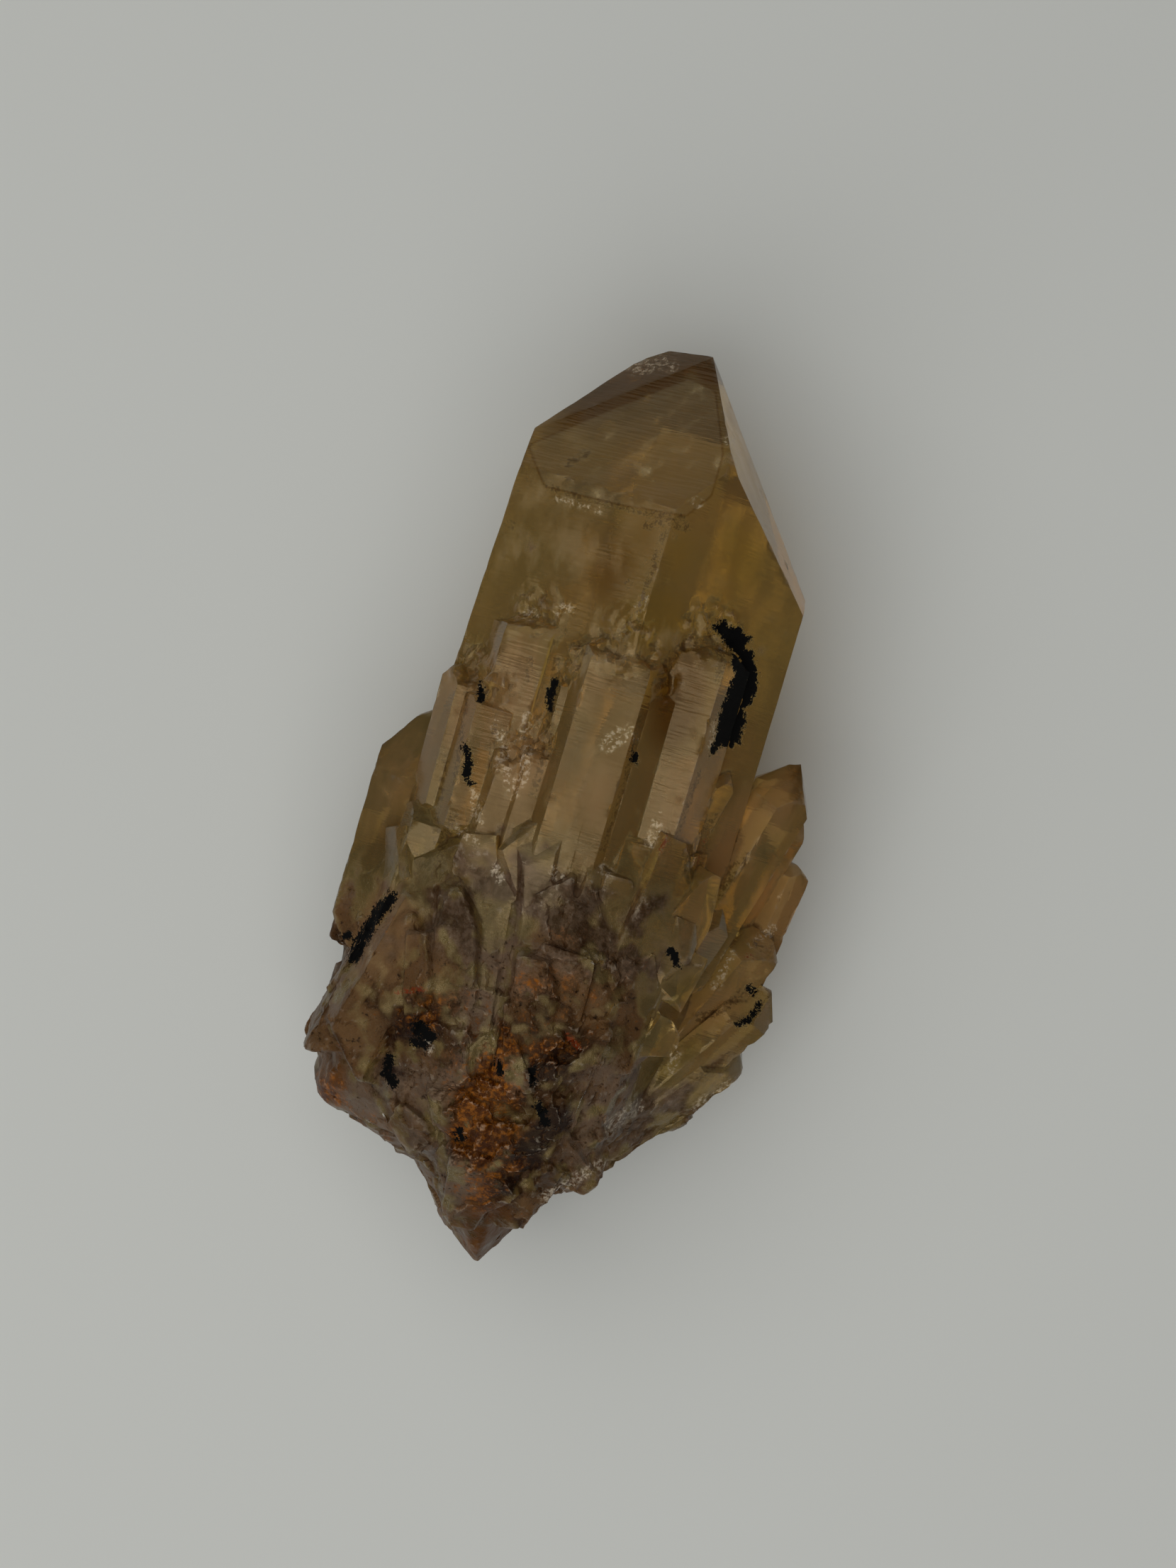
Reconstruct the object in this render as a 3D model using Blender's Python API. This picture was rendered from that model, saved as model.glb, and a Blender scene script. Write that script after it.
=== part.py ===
"""Citrine crystal: one large smoky-yellow quartz point with smaller points grown together round its lower half.

The specimen lies on its side. Metres, +Z up. +Y runs along the large point towards its tip, +X to its right as seen
from above. The origin is the middle of the specimen's footprint, on the surface that it rests on.
All lengths in the tables below are millimetres and all angles are degrees.
"""

import math
import random

import bmesh
import bpy
from mathutils import Matrix, Vector

MM = 0.001
SPECIMEN = "citrine_cluster"
HEXAGON = (0, 60, 120, 180, 240, 300)

# Quartz's rhombohedral faces climb this far along the crystal for each unit that they close in on its axis
QUARTZ_RISE = 1.271

# The large point. Its axis stands at that height above the middle of the specimen
MAIN_AXIS_X = -1.6
MAIN_AXIS_Z = 19.0
MAIN_TILT = 5.0
MAIN_LENGTH = 50.0
MAIN_REACH = 16.0

# The large point's sides: azimuth round the axis (0 right, 90 up), distance from the axis, and taper towards the tip
MAIN_SIDES = (
    ("right", 0, 15.0, 0.0),
    ("upper_right", 60, 11.5, 0.0),
    ("upper_left", 120, 11.5, 0.0),
    ("left", 180, 17.0, 2.2),
    ("lower_left", 240, 11.9, 0.8),
    ("lower_right", 300, 11.3, 0.4),
)

# Its end faces: azimuth, rise, and where the face meets the axis
MAIN_END_FACES = (
    ("right", 14.4, 1.32, 44.5),
    ("right_wall", 0, 1.31, 44.9),
    ("upper_right", 60, QUARTZ_RISE, 49.4),
    ("upper_left", 120, QUARTZ_RISE, 44.8),
    ("left_bevel", 129.5, 1.063, 45.2),
    ("left_wall", 180, 1.2, 52.9),
    ("lower_left", 240, QUARTZ_RISE, 53.5),
    ("lower_right", 300, QUARTZ_RISE, 47.0),
    ("tip_chip", 174, 0.62, 48.6),
)

# Side points. Each row: name, tip (x, y, z), yaw from +Y towards +X, elevation, length, half width, half thickness,
# roll about its own axis, the rise of its end faces (lower is blunter), and how worn its end is (0 sharp, 1 round)
SIDE_POINTS = (
    # Left of the large point, upper side
    ("left_slab", (-11.5, 16.8, 26.2), 0, 5, 24, 3.7, 3.2, 24, 0.7, 0.8),
    ("left_slab_step", (-13.2, 8.6, 26.0), -1, 5, 17, 3.1, 3.0, 34, 0.8, 0.9),
    ("left_finger", (-16.0, 10.1, 24.0), -1, 6, 18, 2.5, 3.2, 30, 0.8, 1.0),
    ("left_outer", (-18.7, 4.9, 18.2), 0, 5, 26, 4.4, 5.4, 0, 1.5, 0.2),
    ("left_outer_low", (-18.6, -1.0, 13.0), 1, 4, 20, 4.2, 5.8, 0, 1.2, 0.3),
    ("left_shard", (-9.4, 3.5, 27.6), 3, 8, 22, 2.6, 2.6, 30, 0.8, 0.9),
    ("left_shard_low", (-15.6, -3.5, 23.6), 3, 9, 16, 2.8, 3.2, 22, 0.9, 0.5),
    # Middle of the upper side
    ("middle_left", (-2.4, 15.8, 30.6), 0, 6, 26, 4.5, 3.4, 30, 0.5, 0.7),
    ("middle_fill", (1.4, 13.2, 28.6), 0, 6, 25, 2.8, 3.4, 0, 0.6, 0.9),
    ("middle_left_bevel", (-6.2, 12.6, 28.4), 0, 6, 24, 2.0, 3.2, 22, 0.7, 0.8),
    ("middle_right", (4.8, 19.0, 28.2), 0, 6.5, 27, 4.6, 3.6, 24, 0.6, 0.6),
    ("middle_step", (-7.4, 5.0, 28.4), 1, 7, 22, 2.0, 2.6, 30, 0.8, 0.9),
    ("needle", (10.5, 7.4, 25.4), 13, 9, 20, 1.7, 1.9, 5, 1.3, 0.1),
    # Right of the large point
    ("right_point", (17.6, 9.4, 21.2), 14.5, 6, 27, 3.2, 3.7, 0, QUARTZ_RISE, 0.0),
    ("right_point_twin", (18.2, 6.9, 16.8), 15, 6, 28, 2.9, 3.6, 12, QUARTZ_RISE, 0.0),
    ("right_stub", (20.0, 0.1, 14.8), 7, 5, 16, 2.1, 2.8, 6, 0.6, 0.3),
    ("right_blade", (13.2, -5.2, 22.4), 17, 9, 18, 2.7, 3.4, 20, 1.1, 0.3),
    ("right_wide", (19.4, -6.6, 15.6), 24, 7, 30, 3.0, 5.4, 4, 0.8, 0.5),
    ("right_low_one", (21.4, -12.6, 15.4), 33, 6, 28, 2.5, 5.6, 10, 0.9, 0.4),
    ("right_low_two", (20.4, -18.6, 14.0), 40, 5, 26, 2.3, 5.6, 14, 0.9, 0.4),
    ("right_low_three", (17.8, -24.2, 11.8), 45, 4, 20, 2.2, 5.4, 6, 1.0, 0.4),
    # Lower left block
    ("corner_block", (-12.4, -10.6, 22.6), 13, 7, 22, 4.5, 5.2, 24, 0.7, 0.6),
    ("corner_rib", (-16.4, -13.5, 18.6), 11, 6, 19, 2.4, 5.4, 8, 0.8, 0.5),
    # Underside
    ("under_left", (-10.2, 13.0, 5.8), -2, 0, 38, 5.2, 6.0, 30, QUARTZ_RISE, 0.1),
    ("under_right", (7.6, 10.0, 5.6), 3, 0, 36, 5.0, 5.8, 30, QUARTZ_RISE, 0.1),
    ("under_middle", (-1.4, 17.0, 8.8), 1, 3, 34, 3.8, 4.6, 12, QUARTZ_RISE, 0.1),
    ("under_left_edge", (-15.2, 4.6, 10.4), -3, 4, 26, 3.2, 4.4, 10, 1.1, 0.2),
    ("under_right_edge", (13.6, 4.0, 11.6), 9, 5, 26, 3.2, 4.2, 25, 1.1, 0.2),
    ("under_right_far", (14.8, -6.4, 7.0), 20, 3, 24, 3.4, 4.8, 12, 1.1, 0.3),
    ("under_left_far", (-15.4, -7.0, 7.6), 2, 2, 22, 4.4, 5.4, 18, 1.1, 0.3),
)

# How the side points' ends vary: how far an end face is turned, how far back the three smaller ones lie in half
# widths, and for a worn end how many flats it takes, how deep they are in half widths and how blunt
END_FACE_TURN = 4
SMALL_FACE_BACK = (0.2, 0.5)
WORN_FLATS = 6
WORN_DEPTH = (0.05, 0.3)
WORN_BLUNTNESS = (0.25, 0.6)

# Their other ends are broken off inside the root, along slanting faces
ROOT_END_FACES = 3
ROOT_END_SLANT = 0.9

# The broken root, in rough stones. Each row: name, outline as seen from above, height of the outline's edge, top,
# bottom, and the seed
ROOT_STONES = (
    (
        "root_body",
        (
            (-21.6, -34.4),
            (-19.2, -37.6),
            (-13.2, -39.2),
            (-6.0, -41.0),
            (4.0, -41.4),
            (7.6, -37.0),
            (14.4, -28.6),
            (16.4, -19.0),
            (16.0, -8.0),
            (12.0, 0.0),
            (-12.0, 0.0),
            (-20.4, -8.0),
            (-22.4, -20.0),
            (-21.8, -27.0),
        ),
        13.5,
        31.0,
        2.0,
        5,
    ),
    (
        "root_base",
        ((-9.6, -39.6), (-2.6, -47.6), (1.0, -51.0), (4.5, -43.0), (9.0, -32.0), (-2.0, -22.0), (-13.0, -30.0)),
        11.0,
        24.0,
        -0.5,
        17,
    ),
)

# A stone's sides slope in by this much above and below its outline, whose height wavers
STONE_EDGE_WAVER = 1.5
STONE_SLOPE_ABOVE = (0.1, 0.45)
STONE_SLOPE_BELOW = (0.2, 0.7)

# The root swells like an egg with these half sizes about this middle, flatter below than above
ROOT_EGG_MIDDLE = (-1.0, -9.0, 15.0)
ROOT_EGG = (21.6, 36.0)
ROOT_EGG_HEIGHT = 15.8
ROOT_EGG_DEPTH = 13.0
ROOT_BREAKS_ABOVE = 60
ROOT_BREAKS_BELOW = 24
ROOT_BREAK_SCALE = (0.965, 1.02)
ROOT_BREAK_SPREAD = 0.9
ROOT_EGG_RIM = 0.03

# It narrows over that length towards this far end, to that share of its width
ROOT_NARROW_END = -46.0
ROOT_NARROW_LENGTH = 18.0
ROOT_NARROWEST = 0.15

# Broken splinters that lie against the root and fan out from its base, one in four of them on the underside
SPLINTER_COUNT = 84
SPLINTER_SEED = 29
SPLINTERS_PER_LOWER = 4
SPLINTER_X = (-19.0, 12.0)
SPLINTER_Y = (-42.0, -8.0)
SPLINTER_HALF_WIDTH = (1.4, 4.2)
SPLINTER_STRETCH = (1.1, 2.4)
SPLINTER_THICKNESS = (0.45, 0.75)
SPLINTER_SINK = (0.42, 0.68)
SPLINTER_LEAN = 9.0
SPLINTER_BREAKS = 9
SPLINTER_DEPTH = (0.60, 0.95)
ROOT_BASE = (1.0, -62.0)

# Smoky yellow quartz, as linear colour
CITRINE = (0.30, 0.19, 0.075, 1.0)
CITRINE_ROUGHNESS = 0.22
CITRINE_TRANSMISSION = 0.8
QUARTZ_IOR = 1.544


def clear_scene():
    """Removes every object that the scene starts with."""
    for old in list(bpy.data.objects):
        bpy.data.objects.remove(old)


def collection(name):
    """A new collection, linked to the scene."""
    made = bpy.data.collections.new(name)
    bpy.context.scene.collection.children.link(made)
    return made


def facet(bm, normal, point):
    """Cuts away what lies beyond a plane and closes the cut with one flat face."""
    geometry = bm.verts[:] + bm.edges[:] + bm.faces[:]
    cut = bmesh.ops.bisect_plane(bm, geom=geometry, plane_co=point, plane_no=normal, clear_outer=True, dist=1e-6)
    rim = [part for part in cut["geom_cut"] if isinstance(part, bmesh.types.BMEdge)]
    if rim:
        bmesh.ops.holes_fill(bm, edges=rim)


def end_facet(bm, azimuth, rise, height):
    """Cuts one sloping end face. It meets the crystal's own axis, local +Y, at that height."""
    turn = math.radians(azimuth)
    normal = Vector((math.cos(turn) * rise, 1.0, math.sin(turn) * rise)).normalized()
    facet(bm, normal, Vector((0.0, height, 0.0)))


def side_facet(bm, azimuth, distance, taper=0.0):
    """Cuts one prism face at that distance from the crystal's own axis, closing in on it towards the tip."""
    turn = math.radians(azimuth)
    lean = math.radians(taper)
    out = Vector((math.cos(turn), 0.0, math.sin(turn)))
    facet(bm, out * math.cos(lean) + Vector((0, math.sin(lean), 0)), out * distance)


def blank(low, high):
    """A block to cut a crystal or a stone from, between two corners."""
    bm = bmesh.new()
    bmesh.ops.create_cube(bm, size=1.0)
    low = Vector(low)
    high = Vector(high)
    size = Matrix.Diagonal((*(high - low), 1.0))
    bmesh.ops.transform(bm, matrix=Matrix.Translation((low + high) / 2) @ size, verts=bm.verts)
    return bm


def aim(tip, yaw, elevation, length, roll=0.0):
    """The matrix that puts a crystal's local +Y end at tip, pointing by yaw and elevation. Millimetres."""
    turn = (
        Matrix.Rotation(math.radians(-yaw), 4, "Z")
        @ Matrix.Rotation(math.radians(elevation), 4, "X")
        @ Matrix.Rotation(math.radians(roll), 4, "Y")
    )
    root = Vector(tip) - turn @ Vector((0, length, 0))
    return Matrix.Translation(root) @ turn


def finish_mesh(bm, name, matrix, target):
    """Turns a bmesh in millimetres into an object in metres, with its faces pointing out and nothing below 0."""
    bmesh.ops.transform(bm, matrix=matrix, verts=bm.verts)
    facet(bm, Vector((0, 0, -1)), Vector((0, 0, 0)))
    bmesh.ops.recalc_face_normals(bm, faces=bm.faces)
    bmesh.ops.transform(bm, matrix=Matrix.Scale(MM, 4), verts=bm.verts)
    mesh = bpy.data.meshes.new(name)
    bm.to_mesh(mesh)
    bm.free()
    made = bpy.data.objects.new(name, mesh)
    target.objects.link(made)
    return made


def main_point(target):
    """The large point, tilted up out of the cluster, with a bevelled and chipped tip."""
    reach = MAIN_LENGTH
    bm = blank((-reach, -MAIN_REACH, -reach), (reach, MAIN_LENGTH, reach))
    for _, azimuth, distance, taper in MAIN_SIDES:
        side_facet(bm, azimuth, distance, taper)
    for _, azimuth, rise, height in MAIN_END_FACES:
        end_facet(bm, azimuth, rise, height)
    tilt = Matrix.Rotation(math.radians(MAIN_TILT), 4, "X")
    return finish_mesh(bm, SPECIMEN, Matrix.Translation((MAIN_AXIS_X, 0, MAIN_AXIS_Z)) @ tilt, target)


def ellipse_distance(azimuth, half_width, half_thickness):
    """How far from the middle a face with that azimuth lies when it touches an ellipse of those half sizes."""
    turn = math.radians(azimuth)
    return math.hypot(half_width * math.cos(turn), half_thickness * math.sin(turn))


def side_point(row, target):
    """One smaller point: six sides, six end faces of which three are larger, a worn end and a broken root."""
    name, tip, yaw, elevation, length, half_width, half_thickness, roll, rise, wear = row
    draw = random.Random(name)
    reach = max(half_width, half_thickness) * 2
    bm = blank((-reach, 0, -reach), (reach, length, reach))
    for step, azimuth in enumerate(HEXAGON):
        side_facet(bm, azimuth, ellipse_distance(azimuth - roll, half_width, half_thickness))
        smaller = step % 2
        turned = azimuth + draw.uniform(-END_FACE_TURN, END_FACE_TURN)
        end_facet(bm, turned, rise, length + smaller * half_width * draw.uniform(*SMALL_FACE_BACK))
    for _ in range(round(wear * WORN_FLATS)):
        height = length - half_width * draw.uniform(*WORN_DEPTH)
        end_facet(bm, draw.uniform(0, 360), rise * draw.uniform(*WORN_BLUNTNESS), height)
    for _ in range(ROOT_END_FACES):
        across = draw.uniform(-ROOT_END_SLANT, ROOT_END_SLANT)
        up = draw.uniform(-ROOT_END_SLANT, ROOT_END_SLANT)
        facet(bm, Vector((across, -1, up)).normalized(), Vector((0, draw.uniform(0, 1), 0)))
    return finish_mesh(bm, name, aim(tip, yaw, elevation, length, roll), target)


def root_stone(row, target):
    """A broken stone with that outline from above: each side slopes in above and below its edge."""
    name, outline, edge_z, top, bottom, seed = row
    draw = random.Random(seed)
    low = [min(corner[axis] for corner in outline) - 1 for axis in range(2)]
    high = [max(corner[axis] for corner in outline) + 1 for axis in range(2)]
    bm = blank((*low, bottom), (*high, top))
    for start, end in zip(outline, outline[1:] + outline[:1]):
        out = Vector((end[1] - start[1], start[0] - end[0], 0)).normalized()
        edge = Vector((*start, edge_z + draw.uniform(-STONE_EDGE_WAVER, STONE_EDGE_WAVER)))
        facet(bm, (out + Vector((0, 0, draw.uniform(*STONE_SLOPE_ABOVE)))).normalized(), edge)
        facet(bm, (out - Vector((0, 0, draw.uniform(*STONE_SLOPE_BELOW)))).normalized(), edge)
    for step in range(ROOT_BREAKS_ABOVE + ROOT_BREAKS_BELOW):
        turn = draw.uniform(0, math.tau)
        outward = math.sqrt(draw.uniform(0, ROOT_BREAK_SPREAD))
        side = 1 if step < ROOT_BREAKS_ABOVE else -1
        normal, point = egg_plane(math.cos(turn) * outward, math.sin(turn) * outward, side)
        facet(bm, normal, Vector(ROOT_EGG_MIDDLE).lerp(point, draw.uniform(*ROOT_BREAK_SCALE)))
    return finish_mesh(bm, name, Matrix.Identity(4), target)


def egg_plane(across, along, side):
    """Normal and point of the plane that touches the root's egg there, on its upper (1) or lower (-1) side."""
    up = side * math.sqrt(max(ROOT_EGG_RIM, 1 - across * across - along * along))
    size = (*ROOT_EGG, ROOT_EGG_HEIGHT if side > 0 else ROOT_EGG_DEPTH)
    unit = (across, along, up)
    normal = Vector([unit[axis] / size[axis] for axis in range(3)]).normalized()
    point = Vector([unit[axis] * size[axis] for axis in range(3)])
    return normal, point + Vector(ROOT_EGG_MIDDLE)


def root_splinters(target):
    """Broken splinters all over the root's upper side, and fewer of them below."""
    draw = random.Random(SPLINTER_SEED)
    for step in range(SPLINTER_COUNT):
        side = -1 if (step + 1) % SPLINTERS_PER_LOWER == 0 else 1
        x = draw.uniform(*SPLINTER_X)
        y = draw.uniform(*SPLINTER_Y)
        x *= min(1.0, max(ROOT_NARROWEST, (y - ROOT_NARROW_END) / ROOT_NARROW_LENGTH))
        across = (x - ROOT_EGG_MIDDLE[0]) / ROOT_EGG[0]
        along = (y - ROOT_EGG_MIDDLE[1]) / ROOT_EGG[1]
        normal, point = egg_plane(across, along, side)
        half = draw.uniform(*SPLINTER_HALF_WIDTH)
        thickness = half * draw.uniform(*SPLINTER_THICKNESS)
        half_sizes = (half, half * draw.uniform(*SPLINTER_STRETCH), thickness)
        fan = Vector((x - ROOT_BASE[0], y - ROOT_BASE[1], 0)).normalized()
        middle = point - normal * thickness * draw.uniform(*SPLINTER_SINK)
        splinter(f"splinter_{step:03d}", middle, half_sizes, fan, normal, draw, target)


def splinter(name, middle, half_sizes, fan, normal, draw, target):
    """A block broken along flat faces. It lies against the root's surface, longest along the fan."""
    bm = blank((-1, -1, -1), (1, 1, 1))
    for _ in range(SPLINTER_BREAKS):
        break_normal = Vector([draw.gauss(0, 1) for _ in range(3)]).normalized()
        facet(bm, break_normal, break_normal * draw.uniform(*SPLINTER_DEPTH))
    across = fan.cross(normal).normalized()
    frame = Matrix((across, normal.cross(across), normal)).transposed().to_4x4()
    lean = Matrix.Rotation(math.radians(draw.uniform(-SPLINTER_LEAN, SPLINTER_LEAN)), 4, "Y")
    rise = Matrix.Rotation(math.radians(draw.uniform(0, SPLINTER_LEAN)), 4, "X")
    place = Matrix.Translation(middle) @ frame @ lean @ rise @ Matrix.Diagonal((*half_sizes, 1.0))
    return finish_mesh(bm, name, place, target)


def citrine_material():
    """See-through smoky yellow quartz."""
    material = bpy.data.materials.new("citrine")
    material.use_nodes = True
    shader = material.node_tree.nodes["Principled BSDF"]
    shader.inputs["Base Color"].default_value = CITRINE
    shader.inputs["Roughness"].default_value = CITRINE_ROUGHNESS
    shader.inputs["Metallic"].default_value = 0.0
    shader.inputs["IOR"].default_value = QUARTZ_IOR
    shader.inputs["Transmission Weight"].default_value = CITRINE_TRANSMISSION
    return material


def grow_together(main, neighbours):
    """Joins the large point and everything grown on it into one solid."""
    for part in neighbours.objects:
        part.hide_render = True
        part.display_type = "WIRE"
    union = main.modifiers.new("grown_together", "BOOLEAN")
    union.operation = "UNION"
    union.solver = "EXACT"
    union.operand_type = "COLLECTION"
    union.collection = neighbours


def stand_on_origin(objects):
    """Moves everything so that the joined solid's footprint is centred on the origin and its lowest face is at 0."""
    view = bpy.context.evaluated_depsgraph_get()
    corners = [Vector(corner) for corner in objects[0].evaluated_get(view).bound_box]
    low = Vector(map(min, *corners))
    high = Vector(map(max, *corners))
    shift = Vector((-(low.x + high.x) / 2, -(low.y + high.y) / 2, -low.z))
    for part in objects:
        part.location = shift


def build():
    clear_scene()
    specimen = collection(SPECIMEN)
    neighbours = collection("grown_on_main_point")
    main = main_point(specimen)
    for row in SIDE_POINTS:
        side_point(row, neighbours)
    for row in ROOT_STONES:
        root_stone(row, neighbours)
    root_splinters(neighbours)
    main.data.materials.append(citrine_material())
    grow_together(main, neighbours)
    stand_on_origin([main, *neighbours.objects])


build()
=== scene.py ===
"""Looks for the citrine crystal cluster: see-through smoky yellow quartz lying on pale paper.

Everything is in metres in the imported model's frame. Tables are in millimetres where they say so.
"""

import math
from types import SimpleNamespace

import bmesh
import bpy
import numpy as np
from mathutils import Matrix, Vector, kdtree, noise
from mathutils.bvhtree import BVHTree


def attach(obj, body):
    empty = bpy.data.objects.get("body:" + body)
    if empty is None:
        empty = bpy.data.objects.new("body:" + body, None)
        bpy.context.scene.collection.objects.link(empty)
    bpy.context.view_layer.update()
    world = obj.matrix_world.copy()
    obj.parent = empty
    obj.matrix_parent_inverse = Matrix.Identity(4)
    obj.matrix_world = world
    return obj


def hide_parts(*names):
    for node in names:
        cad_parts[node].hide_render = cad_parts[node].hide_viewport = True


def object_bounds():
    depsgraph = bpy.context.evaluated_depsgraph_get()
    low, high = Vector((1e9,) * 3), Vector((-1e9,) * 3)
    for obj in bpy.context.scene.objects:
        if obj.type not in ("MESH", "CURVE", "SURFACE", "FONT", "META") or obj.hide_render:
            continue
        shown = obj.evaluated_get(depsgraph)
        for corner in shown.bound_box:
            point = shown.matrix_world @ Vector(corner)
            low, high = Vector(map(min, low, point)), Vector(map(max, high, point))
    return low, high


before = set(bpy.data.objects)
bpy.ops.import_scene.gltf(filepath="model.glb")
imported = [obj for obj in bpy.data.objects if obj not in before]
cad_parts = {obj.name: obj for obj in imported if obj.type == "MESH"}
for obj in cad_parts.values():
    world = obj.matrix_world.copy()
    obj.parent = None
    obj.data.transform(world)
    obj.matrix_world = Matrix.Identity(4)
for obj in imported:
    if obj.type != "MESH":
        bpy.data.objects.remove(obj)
CAD_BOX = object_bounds()

MM = 0.001
NODE = "citrine_cluster"

# Camera: straight above, turned so that the large point leans to the right. Millimetres and degrees
CAMERA_XY = (-1.9, 3.05)
CAMERA_FOCUS_Z = 18.0
CAMERA_DISTANCE = 300.0
CAMERA_TURN = 16.5
CAMERA_NEAREST = 5.0
CAMERA_FARTHEST = 5000.0
FRAME_WIDTH_PX = 1659
FRAME_HEIGHT_PX = 2212
PX_PER_MM = 14.0


def photo_camera():
    """The camera that looks down on the specimen as in the photograph."""
    data = bpy.data.cameras.new("photo_camera")
    made = bpy.data.objects.new("photo_camera", data)
    bpy.context.scene.collection.objects.link(made)
    place = Vector((*CAMERA_XY, CAMERA_FOCUS_Z + CAMERA_DISTANCE)) * MM
    made.matrix_world = Matrix.Translation(place) @ Matrix.Rotation(math.radians(CAMERA_TURN), 4, "Z")
    data.sensor_fit = "VERTICAL"
    data.angle = 2 * math.atan(FRAME_HEIGHT_PX / PX_PER_MM / 2 / CAMERA_DISTANCE)
    data.clip_start = CAMERA_NEAREST * MM
    data.clip_end = CAMERA_FARTHEST * MM
    bpy.context.scene.camera = made


def picture_place(points):
    """Where points in millimetres fall in the photograph, in its own pixels."""
    away = CAMERA_DISTANCE + CAMERA_FOCUS_Z - points[:, 2]
    turn = math.radians(CAMERA_TURN)
    x = points[:, 0] - CAMERA_XY[0]
    y = points[:, 1] - CAMERA_XY[1]
    across = x * math.cos(turn) + y * math.sin(turn)
    up = y * math.cos(turn) - x * math.sin(turn)
    scale = PX_PER_MM * CAMERA_DISTANCE / away
    return np.stack([FRAME_WIDTH_PX / 2 + across * scale, FRAME_HEIGHT_PX / 2 - up * scale], axis=1)


# Mesh. Lengths in millimetres

JOINED_WITHIN = 0.0005
FLAT_WITHIN_DEGREES = 0.2
CRYSTAL_EDGE = 1.0
ROOT_EDGE = 0.56
SPLIT_ROUNDS = 12

# The broken root lies below this y, along a wavy border
ROOT_BORDER_Y = -8.5
ROOT_BORDER_WAVES = (
    # height, turns across, turns upwards, start
    (2.4, 0.35, 0.0, 0.9),
    (1.8, 0.8, -0.6, 2.0),
)

# The slabs on the right and left keep clean faces further down
ROOT_BORDER_DROPS = (
    # from x, to x, how much further
    (7.0, 14.0, 17.0),
    (-10.0, -17.0, 3.0),
)

# The root starts this far above the border and is complete this far below it
ROOT_FADE_ABOVE = 5.0
ROOT_FADE_BELOW = 6.0

# How often the root and the worn tops are smoothed, and how far a point moves each time
ROOT_WEAR_ROUNDS = 6
TOP_WEAR_ROUNDS = 6
WEAR_STEP = 0.5
ROOT_LUMPS = (
    # size, height
    (4.2, 0.25),
    (0.9, 0.08),
)
ROOT_BREAKS = (
    # size, slope, step, share in the tone
    (5.0, 0.10, 0.08, 0.6),
    (1.8, 0.12, 0.05, 0.4),
)
BREAK_BEND_SIZE = 2.5
BREAK_BEND = 0.8
TOP_LUMP_SIZE = 1.5
TOP_LUMP_HEIGHT = 0.42
TOP_LUMP_OCTAVES = 2

# Broken faces that are smoother than the rest of the root, by how much, and where as in ZONES below
SMOOTH_SHARE = 0.85
SMOOTH_BREAKS = (
    ((684, 1728), (34, 50), 0, 1.0),
    ((540, 1318), (46, 70), 20, 1.0),
    ((520, 1470), (60, 110), 10, 0.8),
    ((640, 1330), (60, 70), 20, 0.7),
    ((800, 1330), (90, 60), 30, 0.5),
    ((900, 1440), (110, 80), 30, 0.6),
)

# Chips on the edges: depth, size, the sharpness of a full edge, and the noise that doesn't chip
EDGE_CHIP = 0.24
EDGE_CHIP_SIZE = 1.1
EDGE_CHIP_SHARP = 0.08
EDGE_CHIP_SPARED = 0.15
FACE_WAVE = 0.035
FACE_WAVE_SIZE = 3.0

# The sharpness that the material takes as a full edge, and the directions that the painted shading of the
# faces goes by
EDGE_SHARP = 0.06
SHADE_DIRECTIONS = ((5.0, 3.0, 7.0), (4.0, -6.0, 2.0))

# Noise: its gain, how far apart two seeds lie, and how much each finer octave adds
NOISE_GAIN = 1.6
SEED_STEP = (17.3, 5.9, 11.1)
OCTAVE_SHARE = 0.55
CHIP_SEED = 3
WAVE_SEED = 9
LUMP_SEED = 20
TOP_SEED = 41
BEND_SEEDS = (51, 52, 53)
STORED_NOISE = (
    # name, size, seed, octaves
    ("broad", 7.5, 61, 2),
    ("mottle", 2.4, 62, 3),
)

# A distance in photograph pixels that is further than any mark reaches
FAR_AWAY = 60.0

# Edge length near the black marks, how near that is, and the height that they lie above
MARK_EDGE = 0.34
MARK_REACH = 0.7
MARKED_ABOVE = 15.0

# What hides a point is further than this from it. Marks fade as a face turns down between the two tilts
HIDDEN_START = 0.6
MARK_TILT_FULL = -0.1
MARK_TILT_NONE = -0.4

# Worn tops of the side points: middle and reach. They are fully worn in this part of the reach
WORN_CORE = 0.5
WORN_TOPS = (
    ((-11.2, 17.6, 28.0), 3.6),
    ((-15.7, 11.0, 25.0), 3.2),
    ((-12.9, 9.6, 27.0), 3.0),
    ((-2.1, 16.8, 32.0), 4.4),
    ((1.7, 14.4, 30.5), 3.0),
    ((-5.9, 13.8, 30.5), 3.0),
    ((5.1, 20.2, 30.0), 4.6),
    ((-9.1, 4.5, 29.0), 3.0),
    ((-7.1, 6.0, 29.0), 3.0),
)


def cad_triangles():
    """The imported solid's corners in millimetres, and its triangles, with doubled corners joined."""
    bm = bmesh.new()
    bm.from_mesh(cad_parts[NODE].data)
    bmesh.ops.transform(bm, matrix=Matrix.Scale(1 / MM, 4), verts=bm.verts)
    bmesh.ops.remove_doubles(bm, verts=bm.verts, dist=JOINED_WITHIN)
    flat = math.radians(FLAT_WITHIN_DEGREES)
    bmesh.ops.dissolve_limit(bm, angle_limit=flat, verts=bm.verts, edges=bm.edges)
    bmesh.ops.triangulate(bm, faces=bm.faces, quad_method="BEAUTY", ngon_method="BEAUTY")
    bm.verts.ensure_lookup_table()
    points = np.array([v.co for v in bm.verts])
    triangles = np.array([[v.index for v in f.verts] for f in bm.faces])
    bm.free()
    return points, triangles


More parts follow.
